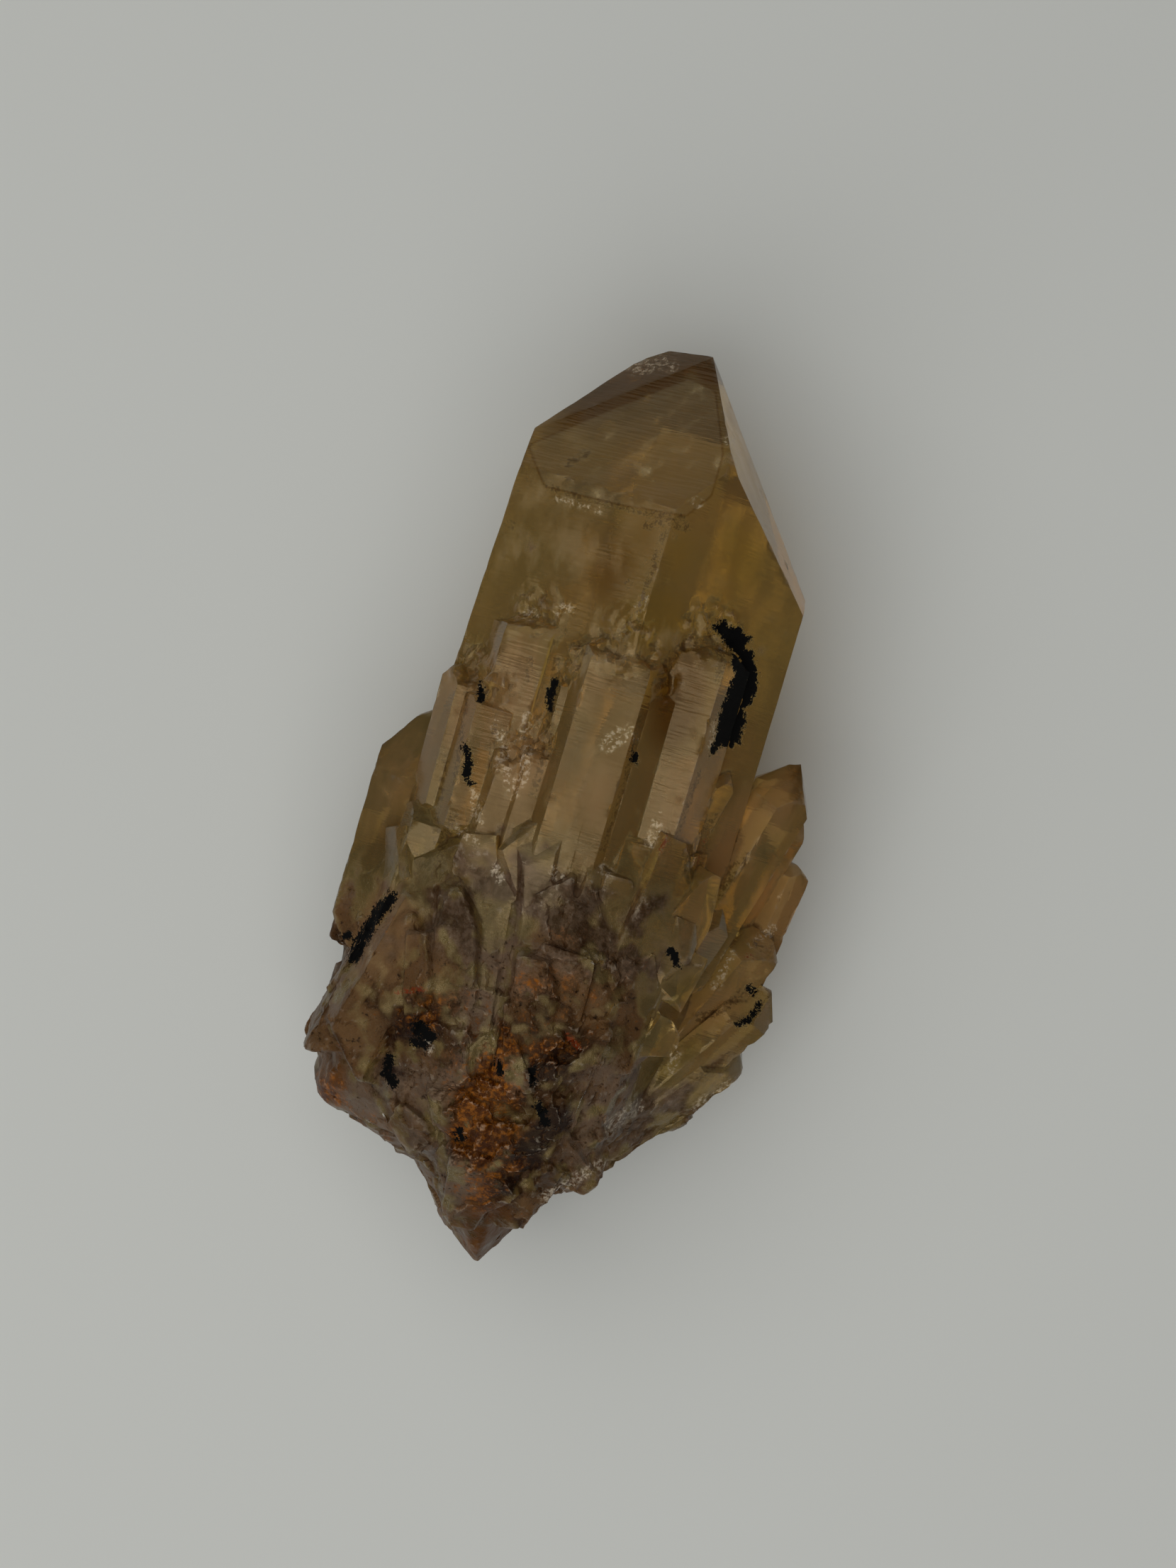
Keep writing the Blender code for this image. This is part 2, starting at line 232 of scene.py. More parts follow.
def smooth_step(value, low, high):
    """0 where value is at low, 1 where it is at high, softly. low may be above high."""
    share = np.clip((value - low) / (high - low), 0.0, 1.0)
    return share * share * (3 - 2 * share)


def root_share(points):
    """0 on the clean crystals, 1 on the broken root, by how far down the specimen a point lies."""
    x, y, z = points.T
    border = np.full(len(points), ROOT_BORDER_Y)
    for height, across, up, start in ROOT_BORDER_WAVES:
        border = border + height * np.sin(across * x + up * z + start)
    for first, last, drop in ROOT_BORDER_DROPS:
        border = border - drop * smooth_step(x, first, last)
    return smooth_step(y, border + ROOT_FADE_ABOVE, border - ROOT_FADE_BELOW)


def top_wear(points):
    """1 at the worn tops of the side points, 0 away from them."""
    wear = np.zeros(len(points))
    for middle, reach in WORN_TOPS:
        away = np.linalg.norm(points - np.array(middle), axis=1)
        wear = np.maximum(wear, smooth_step(away, reach, reach * WORN_CORE))
    return wear


def turned(rows, first):
    """Each row of three, turned round so that it starts at that place."""
    places = (first[:, None] + np.arange(3)) % 3
    return np.take_along_axis(rows, places, axis=1)


def split_long(points, triangles):
    """Halves every edge longer than its place asks for, until none is."""
    for _ in range(SPLIT_ROUNDS):
        pairs = np.sort(triangles[:, [[0, 1], [1, 2], [2, 0]]].reshape(-1, 2), axis=1)
        edges, of_side = np.unique(pairs, axis=0, return_inverse=True)
        ends = points[edges]
        length = np.linalg.norm(ends[:, 0] - ends[:, 1], axis=1)
        middle = ends.mean(axis=1)
        fine = np.maximum(root_share(middle), top_wear(middle))
        limit = CRYSTAL_EDGE + (ROOT_EDGE - CRYSTAL_EDGE) * fine
        asked = np.flatnonzero((length > MARK_EDGE) & (middle[:, 2] > MARKED_ABOVE))
        limit[asked[near_lines(middle[asked], BLACK_LINES)]] = MARK_EDGE
        cut = length > limit
        if not cut.any():
            break
        new = np.full(len(edges), -1)
        new[cut] = np.arange(cut.sum()) + len(points)
        points = np.vstack([points, middle[cut]])
        mids = new[of_side.reshape(-1, 3)]
        count = (mids >= 0).sum(axis=1)
        made = [triangles[count == 0]]
        a, b, c = triangles[count == 3].T
        ab, bc, ca = mids[count == 3].T
        for three in ((a, ab, ca), (ab, b, bc), (ca, bc, c), (ab, bc, ca)):
            made.append(np.stack(three, axis=1))
        first = np.argmax(mids[count == 1] >= 0, axis=1)
        a, b, c = turned(triangles[count == 1], first).T
        ab = turned(mids[count == 1], first)[:, 0]
        made.extend(np.stack(three, axis=1) for three in ((a, ab, c), (ab, b, c)))
        first = (np.argmax(mids[count == 2] < 0, axis=1) + 1) % 3
        a, b, c = turned(triangles[count == 2], first).T
        ab, bc, _ = turned(mids[count == 2], first).T
        one_way = np.linalg.norm(points[a] - points[bc], axis=1)
        other_way = np.linalg.norm(points[ab] - points[c], axis=1)
        near = one_way < other_way
        made.append(np.stack((ab, b, bc), axis=1))
        made.append(np.stack((a, ab, np.where(near, bc, c)), axis=1))
        made.append(np.stack((np.where(near, a, ab), bc, c), axis=1))
        triangles = np.vstack(made)
    return points, triangles


def near_lines(points, rows):
    """Which points are close to one of those lines, as seen from above."""
    return line_distance(picture_place(points), rows) < MARK_REACH * PX_PER_MM


def sum_at(places, values, count):
    """The sum of the values at each place."""
    columns = [np.bincount(places, weights=column, minlength=count) for column in values.T]
    return np.stack(columns, axis=1)


def neighbour_mean(points, edges):
    """For each point, the mean of the points it shares an edge with."""
    count = len(points)
    both = np.concatenate([edges, edges[:, ::-1]])
    total = sum_at(both[:, 0], points[both[:, 1]], count)
    return total / np.maximum(np.bincount(both[:, 0], minlength=count), 1)[:, None]


def face_normals(points, triangles):
    a, b, c = points[triangles[:, 0]], points[triangles[:, 1]], points[triangles[:, 2]]
    return np.cross(b - a, c - a)


def point_normals(points, triangles):
    faces = face_normals(points, triangles)
    total = sum_at(triangles.ravel(), np.repeat(faces, 3, axis=0), len(points))
    return total / np.maximum(np.linalg.norm(total, axis=1), 1e-12)[:, None]


def field(points, size, seed, octaves=1):
    """Noise of that size in millimetres, about -1 to 1, with finer octaves added to it."""
    shift = Vector([seed * step for step in SEED_STEP])
    total = np.zeros(len(points))
    share = 1.0
    for _ in range(octaves):
        found = np.array([noise.noise(Vector(p) / size + shift) for p in points])
        total += found * NOISE_GAIN * share
        size /= 2
        share *= OCTAVE_SHARE
    return total


def break_cells(points, size, seed):
    """Parts the points into broken faces of about that size.

    Gives each point's way from the middle of its face, and four numbers from -1 to 1 that its face drew.
    """
    low = points.min(axis=0)
    counts = np.ceil((points.max(axis=0) - low) / size).astype(int) + 1
    random = np.random.default_rng(seed)
    steps = (np.arange(count) for count in counts)
    grid = np.stack(np.meshgrid(*steps, indexing="ij"), axis=-1).reshape(-1, 3)
    middles = low + (grid + random.uniform(-0.5, 0.5, grid.shape)) * size
    tree = kdtree.KDTree(len(middles))
    for index, middle in enumerate(middles):
        tree.insert(middle, index)
    tree.balance()
    nearest = np.array([tree.find(p)[1] for p in points])
    return points - middles[nearest], random.uniform(-1, 1, (len(middles), 4))[nearest]


def sharpness(points, triangles, edges):
    """How far each point stands out from its neighbours in millimetres, below 0 in a corner."""
    normals = point_normals(points, triangles)
    return ((points - neighbour_mean(points, edges)) * normals).sum(axis=1)


def wear_down(points, triangles, edges):
    """Smooths the root and the worn tops, and chips the other edges."""
    root = root_share(points)
    tops = top_wear(points) * (1 - root)
    for step in range(max(ROOT_WEAR_ROUNDS, TOP_WEAR_ROUNDS)):
        share = WEAR_STEP * (root * (step < ROOT_WEAR_ROUNDS) + tops * (step < TOP_WEAR_ROUNDS))
        points = points + (neighbour_mean(points, edges) - points) * share[:, None]
    edge = np.clip(sharpness(points, triangles, edges) / EDGE_CHIP_SHARP, 0, 1) * (1 - root)
    bite = np.clip(field(points, EDGE_CHIP_SIZE, CHIP_SEED) - EDGE_CHIP_SPARED, 0, 1) * edge
    normals = point_normals(points, triangles)
    return points - normals * (bite * EDGE_CHIP)[:, None]


def roughen(points, triangles):
    """Lumps and broken faces on the root, crumbled tops, and a faint wave on the clean faces.

    Gives the points, and for each one the tone that its broken face drew.
    """
    root = root_share(points)
    normals = point_normals(points, triangles)
    rough = root > 0
    height = field(points, FACE_WAVE_SIZE, WAVE_SEED) * FACE_WAVE * (1 - root)
    part = points[rough]
    raised = np.zeros(len(part))
    for seed, (size, tall) in enumerate(ROOT_LUMPS):
        raised += field(part, size, seed + LUMP_SEED) * tall
    # Quartz breaks in small tilted faces with steps between them. The noise bends their borders
    bends = [field(part, BREAK_BEND_SIZE, seed) for seed in BEND_SEEDS]
    bent = part + np.stack(bends, axis=1) * BREAK_BEND
    chance = np.zeros(len(points))
    for seed, (size, slope, step, share) in enumerate(ROOT_BREAKS):
        away, face = break_cells(bent, size, seed)
        raised += (away * face[:, :3]).sum(axis=1) * slope + face[:, 3] * step
        chance[rough] += face[:, 3] * share
    smooth = SMOOTH_SHARE * zone_share(picture_place(part), SMOOTH_BREAKS)
    height[rough] += raised * root[rough] * (1 - smooth)
    wear = top_wear(points)
    tops = np.flatnonzero(wear > 0)
    lumps = field(points[tops], TOP_LUMP_SIZE, TOP_SEED, TOP_LUMP_OCTAVES)
    height[tops] += lumps * TOP_LUMP_HEIGHT * (wear * (1 - root))[tops]
    return points + normals * height[:, None], chance


def inside_box(points):
    """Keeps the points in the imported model's box."""
    low, high = (np.array(corner) / MM for corner in CAD_BOX)
    return np.clip(points, low, high)


# Zones of the stone, in the photograph's pixels: middle, half sizes, turn in degrees clockwise, and
# strength. They run through the stone from top to bottom, because the colour is in it, but the dark zones
# are painted shade of the root's cavities
ZONE_FALLOFF = 0.9
ZONES = {
    "milk": (
        ((745, 1255), (150, 62), 8, 1.0),
        ((640, 1300), (70, 70), 0, 0.8),
        ((900, 1350), (120, 70), 30, 0.7),
        ((905, 1285), (60, 60), 0, 0.8),
        ((930, 1560), (90, 36), -30, 0.9),
        ((1010, 1500), (70, 40), -40, 0.6),
        ((560, 1340), (50, 40), 0, 0.5),
        ((720, 1180), (60, 30), 0, 0.5),
        ((880, 1580), (90, 40), -25, 0.5),
        ((590, 1620), (50, 50), 0, 0.6),
    ),
    "rust": (
        ((684, 1570), (56, 140), 4, 1.0),
        ((620, 1420), (90, 40), -10, 0.55),
        ((770, 1400), (120, 60), -20, 0.42),
        ((720, 1480), (110, 50), 0, 0.6),
        ((455, 1550), (34, 40), 0, 0.9),
        ((760, 1460), (80, 40), 0, 0.5),
        ((500, 1590), (60, 30), 30, 0.5),
        ((540, 1290), (40, 30), 0, 0.35),
        ((1075, 1345), (26, 40), 0, 0.35),
    ),
    # Painted shade of the root's cavities
    "dark": (
        ((745, 1630), (28, 110), 38, 1.25),
        ((590, 1450), (60, 46), 0, 0.9),
        ((555, 1510), (26, 34), 0, 0.7),
        ((775, 1500), (70, 44), 0, 0.95),
        ((640, 1480), (40, 60), 0, 0.4),
        ((830, 1560), (50, 24), -20, 0.5),
        ((690, 1460), (120, 50), 0, 0.7),
        ((640, 1600), (40, 80), 0, 0.55),
        ((800, 1470), (70, 40), 0, 0.6),
        ((497, 1300), (16, 70), 30, 0.5),
        ((470, 1470), (20, 60), 10, 0.3),
    ),
    "peach": (
        ((715, 985), (62, 130), 14, 0.75),
        ((655, 1010), (30, 110), 12, 0.75),
        ((560, 1100), (50, 130), 22, 0.62),
        ((960, 1140), (60, 120), 22, 0.7),
        ((540, 1318), (44, 70), 20, 1.3),
        ((1100, 1290), (44, 70), 20, 1.3),
        ((830, 985), (40, 60), 10, 0.5),
        ((1100, 1130), (30, 70), 15, 0.9),
        ((1040, 1180), (46, 110), 26, 0.9),
        ((980, 1300), (46, 110), 30, 0.6),
        ((850, 1130), (60, 110), 14, 0.6),
        ((735, 1075), (50, 60), 14, 1.0),
        ((1000, 1430), (90, 50), -30, 0.8),
        ((1060, 1360), (60, 50), -30, 0.7),
    ),
    "brown": (
        ((895, 545), (150, 30), -27, 1.2),
        ((1005, 515), (34, 40), 0, 1.1),
        ((715, 660), (22, 50), 20, 0.5),
        ((540, 1180), (40, 90), 20, 0.6),
        ((940, 730), (34, 14), 0, 0.6),
        ((780, 1000), (14, 120), 14, 0.4),
        ((955, 990), (50, 90), 12, 0.95),
        ((860, 800), (50, 90), 10, 0.66),
        ((725, 930), (50, 60), 14, 0.7),
        ((655, 1000), (24, 90), 12, 0.66),
        ((1118, 1112), (20, 50), 15, 0.9),
        ((688, 1728), (34, 46), 10, 1.6),
        ((470, 1520), (30, 60), 10, 0.7),
        ((740, 1590), (30, 50), 30, 0.6),
    ),
    "yellow": (
        ((925, 870), (60, 60), 0, 0.8),
        ((1040, 800), (50, 130), 8, 0.7),
        ((950, 780), (40, 90), 12, 0.6),
        ((770, 1130), (50, 60), 0, 0.3),
    ),
    "veil": (
        ((790, 775), (110, 56), 10, 0.6),
        ((760, 700), (60, 40), 0, 0.6),
        ((860, 900), (50, 60), 0, 0.5),
        ((940, 620), (80, 60), -10, 0.4),
        ((850, 1100), (60, 60), 10, 0.4),
        ((850, 930), (60, 26), -5, 0.9),
        ((960, 905), (40, 24), 0, 0.7),
        ((760, 1180), (90, 60), 0, 0.5),
    ),
}


# Marks on the upper side, in the photograph's pixels. A line is its points and its half width
# The ragged black patch and the black spots, drawn near black and dull
BLACK_PATCH = (
    (1006, 885),
    (1019, 875),
    (1031, 884),
    (1046, 885),
    (1051, 897),
    (1060, 899),
    (1051, 914),
    (1062, 919),
    (1064, 935),
    (1070, 962),
    (1059, 990),
    (1049, 1001),
    (1051, 1021),
    (1044, 1046),
    (1030, 1055),
    (1018, 1052),
    (1001, 1065),
    (1011, 1032),
    (1019, 996),
    (1036, 952),
    (1031, 918),
    (1017, 897),
)
BLACK_SPOTS = (
    (((678, 966), (679, 986)), 4),
    (((656, 1054), (661, 1072), (659, 1092)), 5),
    (((662, 1100), (664, 1106)), 3),
    (((781, 964), (777, 984)), 6),
    (((775, 990), (777, 999)), 5),
    (((894, 1066), (896, 1073)), 4),
    (((553, 1266), (530, 1292), (512, 1322), (500, 1350)), 8),
    (((492, 1318), (487, 1322)), 5),
    (((592, 1450), (606, 1462)), 9),
    (((585, 1470), (600, 1474)), 6),
    (((549, 1494), (545, 1512), (556, 1528)), 6),
    (((751, 1512), (752, 1526)), 6),
    (((648, 1597), (650, 1606)), 5),
    (((1041, 1446), (1056, 1438), (1072, 1418)), 4),
    (((1058, 1395), (1064, 1399)), 4),
    (((948, 1342), (954, 1358)), 6),
    (((760, 1560), (770, 1585)), 5),
    (((700, 1500), (706, 1512)), 4),
)
BLACK_LINES = BLACK_SPOTS + ((BLACK_PATCH + BLACK_PATCH[:1], 0),)
# The end face's outline. Inside it the face is painted paler, as a sheen
END_FACE = (
    (745, 628),
    (857, 580),
    (972, 534),
    (1009, 551),
    (1020, 640),
    (1004, 699),
    (968, 728),
    (873, 712),
    (768, 686),
)
BROWN_LINES = (
    (((774, 687), (822, 702), (873, 713), (905, 722), (962, 730)), 3),
    (((912, 742), (940, 735), (968, 744)), 5),
    (((935, 756), (918, 810), (902, 858)), 3),
    (((905, 858), (860, 905)), 2),
    (((800, 655), (818, 645), (832, 636)), 4),
    (((806, 918), (818, 908)), 4),
    (((812, 925), (828, 918)), 3),
    (((721, 739), (724, 744)), 4),
    (((884, 820), (890, 830)), 3),
    (((976, 905), (950, 925), (938, 960)), 7),
    (((1000, 890), (1020, 930), (1012, 960)), 4),
    (((785, 930), (783, 970), (770, 1060), (752, 1120)), 4),
    (((700, 1010), (690, 1090)), 2),
    (((640, 1150), (610, 1240)), 5),
    (((1110, 1420), (1088, 1440)), 3),
    (((1036, 1218), (1010, 1270)), 3),
    (((905, 1010), (880, 1110), (850, 1200)), 2),
    (((988, 1090), (965, 1150), (948, 1190)), 2),
    (((1048, 1400), (1020, 1424), (985, 1436)), 5),
    (((1030, 1240), (1016, 1262)), 5),
    (((1056, 1206), (1032, 1236)), 4),
    (((1010, 1150), (985, 1180), (960, 1240)), 2.5),
    (((1040, 1480), (985, 1520)), 2.5),
    (((1066, 1330), (1076, 1338)), 4),
    (((660, 960), (650, 1040), (640, 1110)), 2),
    (((630, 1060), (612, 1190)), 3),
    (((748, 930), (744, 960)), 3),
    (((590, 1150), (560, 1200)), 2),
)
RED_LINES = (
    (((998, 1184), (990, 1196), (980, 1224)), 2.5),
    (((1052, 1350), (1060, 1346), (1062, 1356)), 2),
    (((940, 1180), (930, 1205)), 3),
    (((800, 1460), (818, 1480)), 3),
    (((560, 1400), (600, 1395)), 3),
)
# White marks: partly white flecks, partly painted highlights and reflecting facets
WHITE_AND_GLINT_LINES = (
    (((896, 520), (935, 510), (946, 516)), 7),
    (((1027, 621), (1031, 623)), 4),
    (((784, 704), (846, 720)), 1.5),
    (((700, 1226), (704, 1240)), 4),
    (((604, 1466), (606, 1480)), 3),
    (((983, 708), (987, 712)), 4),
    (((908, 842), (903, 856)), 5),
    (((790, 862), (802, 858)), 5),
    (((857, 1050), (876, 1036), (892, 1036)), 9),
    (((1013, 1020), (1004, 1052)), 5),
    (((700, 1080), (712, 1060)), 5),
    (((736, 1040), (744, 1010)), 4),
    (((716, 1090), (724, 1120)), 6),
    (((744, 1060), (738, 1100)), 5),
    (((698, 1020), (706, 1040)), 4),
    (((668, 1120), (676, 1160)), 4),
    (((930, 1150), (918, 1190)), 5),
    (((850, 1226), (858, 1232)), 4),
    (((1090, 1310), (1062, 1332)), 3),
    (((1030, 1344), (1010, 1390)), 5),
    (((985, 1560), (1030, 1530)), 5),
    (((860, 1590), (900, 1560)), 6),
    (((955, 1480), (945, 1510)), 4),
    (((640, 1165), (672, 1190)), 3),
    (((610, 976), (616, 972)), 5),
    (((742, 868), (752, 866)), 4),
    (((784, 1230), (788, 1234)), 6),
    (((768, 1690), (850, 1640)), 4),
)


def line_distance(places, rows):
    """How far each place is outside the nearest of those lines, in photograph pixels. Below 0 inside."""
    nearest = np.full(len(places), FAR_AWAY)
    for line, half in rows:
        corners = np.array(line, float)
        low = corners.min(axis=0) - FAR_AWAY
        high = corners.max(axis=0) + FAR_AWAY
        near = np.flatnonzero(((places > low) & (places < high)).all(axis=1))
        found = places[near]
        for start, end in zip(corners, corners[1:]):
            span = end - start
            share = np.clip((found - start) @ span / (span @ span), 0, 1)
            away = np.linalg.norm(found - start - share[:, None] * span, axis=1)
            nearest[near] = np.minimum(nearest[near], away - half)
    return nearest


def patch_distance(places, outline):
    """How far each place is outside a closed outline. Below 0 inside."""
    closed = outline + outline[:1]
    away = line_distance(places, ((closed, 0),))
    inside = np.zeros(len(places), bool)
    x, y = places.T
    for (x0, y0), (x1, y1) in zip(closed, closed[1:]):
        if y0 != y1:
            crossed = ((y0 > y) != (y1 > y)) & (x < (x1 - x0) * (y - y0) / (y1 - y0) + x0)
            inside ^= crossed
    return np.where(inside, -away, away)


def hidden(points, triangles, asked):
    """1 where something lies between a point and the camera, for the points asked about, else 0."""
    tree = BVHTree.FromPolygons(points.tolist(), triangles.tolist())
    camera = Vector((*CAMERA_XY, CAMERA_FOCUS_Z + CAMERA_DISTANCE))
    found = np.zeros(len(points))
    for index in asked:
        start = Vector(points[index])
        way = (camera - start).normalized()
        found[index] = tree.ray_cast(start + way * HIDDEN_START, way)[0] is not None
    return found


def mark_distances(points, normals, triangles):
    """For each kind of mark, how far each point is from it in millimetres.

    Marks are only where the photograph's camera sees them.
    """
    places = picture_place(points)
    below = smooth_step(normals[:, 2], MARK_TILT_FULL, MARK_TILT_NONE)
    near = near_lines(points, BLACK_LINES + BROWN_LINES + RED_LINES + WHITE_AND_GLINT_LINES)
    asked = np.flatnonzero((below < 1) & near)
    below = np.maximum(below, hidden(points, triangles, asked)) * FAR_AWAY
    ink = np.minimum(line_distance(places, BLACK_SPOTS), patch_distance(places, BLACK_PATCH))
    found = {"ink": ink, "end_face": patch_distance(places, END_FACE)}
    for name, rows in (("scribble", BROWN_LINES), ("red", RED_LINES), ("white", WHITE_AND_GLINT_LINES)):
        found[name] = line_distance(places, rows)
    return {name: (away + below) / PX_PER_MM for name, away in found.items()}


def zone_share(places, rows):
    """0 to 1: how much of a zone there is at each place in the photograph."""
    share = np.zeros(len(places))
    for middle, half, clockwise, strength in rows:
        turn = math.radians(clockwise)
        away = places - np.array(middle)
        across = (away[:, 0] * math.cos(turn) + away[:, 1] * math.sin(turn)) / half[0]
        along = (away[:, 1] * math.cos(turn) - away[:, 0] * math.sin(turn)) / half[1]
        share = np.maximum(share, strength * np.exp(-(across ** 2 + along ** 2) * ZONE_FALLOFF))
    return share


def store(mesh, name, values):
    """Keeps one number a point on the mesh, for the material to read."""
    attribute = mesh.attributes.new(name, "FLOAT", "POINT")
    attribute.data.foreach_set("value", values.astype(np.float32))


def facing_shade(normals):
    """Painted shading from -1 to 1 for each way that a face looks, so that neighbouring faces differ."""
    one_way, other_way = (normals @ np.array(direction) for direction in SHADE_DIRECTIONS)
    return np.sin(one_way) * np.cos(other_way)


def build_mesh():
    """The specimen's surface, with the numbers that the material reads kept on its points."""
    points, triangles = split_long(*cad_triangles())
    pairs = np.sort(triangles[:, [[0, 1], [1, 2], [2, 0]]].reshape(-1, 2), axis=1)
    edges = np.unique(pairs, axis=0)
    points = wear_down(points, triangles, edges)
    # Painted shading by the way each face looks
    tone = facing_shade(point_normals(points, triangles))
    points, chance = roughen(points, triangles)
    points = inside_box(points)
    mesh = bpy.data.meshes.new("citrine")
    mesh.from_pydata((points * MM).tolist(), [], triangles.tolist())
    mesh.update()
    places = picture_place(points)
    for name, rows in ZONES.items():
        store(mesh, name, zone_share(places, rows))
    normals = point_normals(points, triangles)
    for name, away in mark_distances(points, normals, triangles).items():
        store(mesh, name, away)
    store(mesh, "root", root_share(points))
    store(mesh, "tone", tone)
    store(mesh, "break", chance)
    for name, size, seed, octaves in STORED_NOISE:
        store(mesh, name, field(points, size, seed, octaves))
    store(mesh, "edge", np.clip(sharpness(points, triangles, edges) / EDGE_SHARP, -1, 1))
    return mesh


# Material. Noise scales are per millimetre

QUARTZ_IOR = 1.544
ABSORBED = (0.80, 0.62, 0.12, 1)
ABSORPTION = 55.0
ROUGH_CLEAR = 0.14
ROUGH_ROOT = 0.42
ROUGH_BLACK_MARK = 0.95
ROUGH_SWING = 0.2
BUMP_STRENGTH = 0.8
BUMP_DEPTH = 0.4 * MM
SHARP_ANGLE = 28.0

# Colours, from the clear points to the broken root and the marks
CLEAR = (0.65, 0.46, 0.17)
OLIVE = (0.58, 0.44, 0.16)
HONEY = (0.60, 0.43, 0.11)
BROWN = (0.26, 0.13, 0.02)
PEACH = (0.62, 0.38, 0.15)
VEIL = (0.56, 0.41, 0.20)
# The end face's painted sheen
END_FACE_SHEEN = (0.60, 0.48, 0.25)
MILK = (0.24, 0.16, 0.105)
MILK_DEEP = (0.075, 0.040, 0.017)
ROOT_PEACH = (0.30, 0.165, 0.070)
ROOT_AMBER = (0.17, 0.060, 0.008)
ROOT_TAN = (0.19, 0.095, 0.035)
ROOT_BROWN = (0.050, 0.018, 0.004)
RUST = (0.050, 0.012, 0.001)
RUST_BRIGHT = (0.22, 0.070, 0.006)
# Painted shade of the root's cavities and pits
DARK = (0.014, 0.005, 0.003)
# Painted shade in the creases between the points
CREASE_SHADE = (0.06, 0.028, 0.010)
# White of bruises and flecks, also used for painted highlights on edges and facets
WHITE = (0.70, 0.60, 0.45)
SCRIBBLE = (0.07, 0.032, 0.008)
RED = (0.16, 0.022, 0.004)
# The near black of the black patch and spots
BLACK_MARK = (0.004, 0.004, 0.004)

# Tints of the gloss, on clear faces and on dull ones
GLOSS_CLEAR = (0.80, 0.62, 0.36)
GLOSS_DULL = (0.05, 0.045, 0.035)

# How much light each zone lets through
THROUGH_CLEAR = 0.88
THROUGH_VEIL = 0.70
THROUGH_PEACH = 0.78
THROUGH_ROOT = 0.55
THROUGH_MILK = 0.55
THROUGH_DARK = 0.15
THROUGH_RUST = 0.08
# Painted shade in the creases lets less light through
THROUGH_CREASE_SHADE = 0.1

# Where a zone's share starts and is full, and how full it counts in the colour
ZONE_RAMP = (0.3, 0.85)
ROOT_RAMP = (0.2, 1.0)


class Nodes:
    """Short ways to add nodes to a material. A value may be a number, a colour or a node's output."""

    def __init__(self, tree):
        self.tree = tree

    def add(self, kind, settings=None, **values):
        node = self.tree.nodes.new(kind)
        for name, value in (settings or {}).items():
            setattr(node, name, value)
        for name, value in values.items():
            self.put(node.inputs[name.replace("_", " ")], value)
        return node

    def put(self, socket, value):
        if isinstance(value, bpy.types.NodeSocket):
            self.tree.links.new(value, socket)
        elif isinstance(value, tuple) and len(value) == 3 and socket.type == "RGBA":
            socket.default_value = (*value, 1)
        else:
            socket.default_value = value

    def math(self, operation, a, b=0.0, c=0.0, clamp=False):
        node = self.tree.nodes.new("ShaderNodeMath")
        node.operation = operation
        node.use_clamp = clamp
        self.put(node.inputs[0], a)
        self.put(node.inputs[1], b)
        self.put(node.inputs[2], c)
        return node.outputs[0]

    def swing(self, pattern, height, middle=0.5):
        """The pattern moved to lie about 0, and stretched to that height."""
        return self.math("MULTIPLY", self.math("SUBTRACT", pattern, middle), height)

    def mix(self, share, a, b):
        """The colour a where share is 0 and b where it is 1."""
        node = self.tree.nodes.new("ShaderNodeMix")
        node.data_type = "RGBA"
        self.put(node.inputs["Factor"], share)
        self.put(node.inputs[6], a)
        self.put(node.inputs[7], b)
        return node.outputs[2]

    def blend(self, share, a, b):
        """The number a where share is 0 and b where it is 1."""
        node = self.tree.nodes.new("ShaderNodeMix")
        node.data_type = "FLOAT"
        self.put(node.inputs["Factor"], share)
        self.put(node.inputs[2], a)
        self.put(node.inputs[3], b)
        return node.outputs[0]

    def ramp(self, value, low, high, from_=0.0, to=1.0):
        """Softly from from_ where value is at low to to where it is at high."""
        settings = {"interpolation_type": "SMOOTHSTEP"}
        node = self.add("ShaderNodeMapRange", settings, Value=value, From_Min=low, From_Max=high)
        self.put(node.inputs["To Min"], from_)
        self.put(node.inputs["To Max"], to)
        return node.outputs["Result"]

    def attribute(self, name):
        return self.add("ShaderNodeAttribute", {"attribute_name": name}).outputs["Fac"]

    def stretched(self, place, scale, turn=(0, 0, 0)):
        node = self.add("ShaderNodeMapping", Vector=place, Scale=scale, Rotation=turn)
        return node.outputs["Vector"]

    def noise(self, place, scale, detail, roughness=0.55):
        values = {"Vector": place, "Scale": scale, "Detail": detail, "Roughness": roughness}
        return self.add("ShaderNodeTexNoise", **values).outputs["Fac"]


def stone_patterns(n):
    """The patterns that break up the colours and the gloss, each about 0 to 1."""
    place = n.add("ShaderNodeTexCoord").outputs["Object"]
    place = n.add("ShaderNodeVectorMath", {"operation": "SCALE"}, Vector=place)
    place.inputs["Scale"].default_value = 1 / MM
    place = place.outputs["Vector"]
    along = n.stretched(place, (1.5, 0.16, 1.5))
    drifting = n.stretched(place, (0.5, 0.22, 0.6), (0, 0, 0.5))
    across = n.stretched(place, (0.3, 3.5, 0.3))
    return SimpleNamespace(
        broad=n.math("MULTIPLY_ADD", n.attribute("broad"), 0.25, 0.5),
        mottle=n.math("MULTIPLY_ADD", n.attribute("mottle"), 0.25, 0.5),
        facets=n.math("MULTIPLY_ADD", n.attribute("break"), 0.5, 0.5),
        fine=n.noise(place, 1.5, 3.0, 0.7),
        grain=n.noise(place, 5.0, 2.0, 0.7),
        specks=n.noise(place, 2.2, 2.0, 0.7),
        streaks=n.noise(along, 1.0, 2.0, 0.6),
        wisps=n.noise(drifting, 1.0, 3.0, 0.66),
        growth_lines=n.noise(across, 1.0, 1.0),
    )


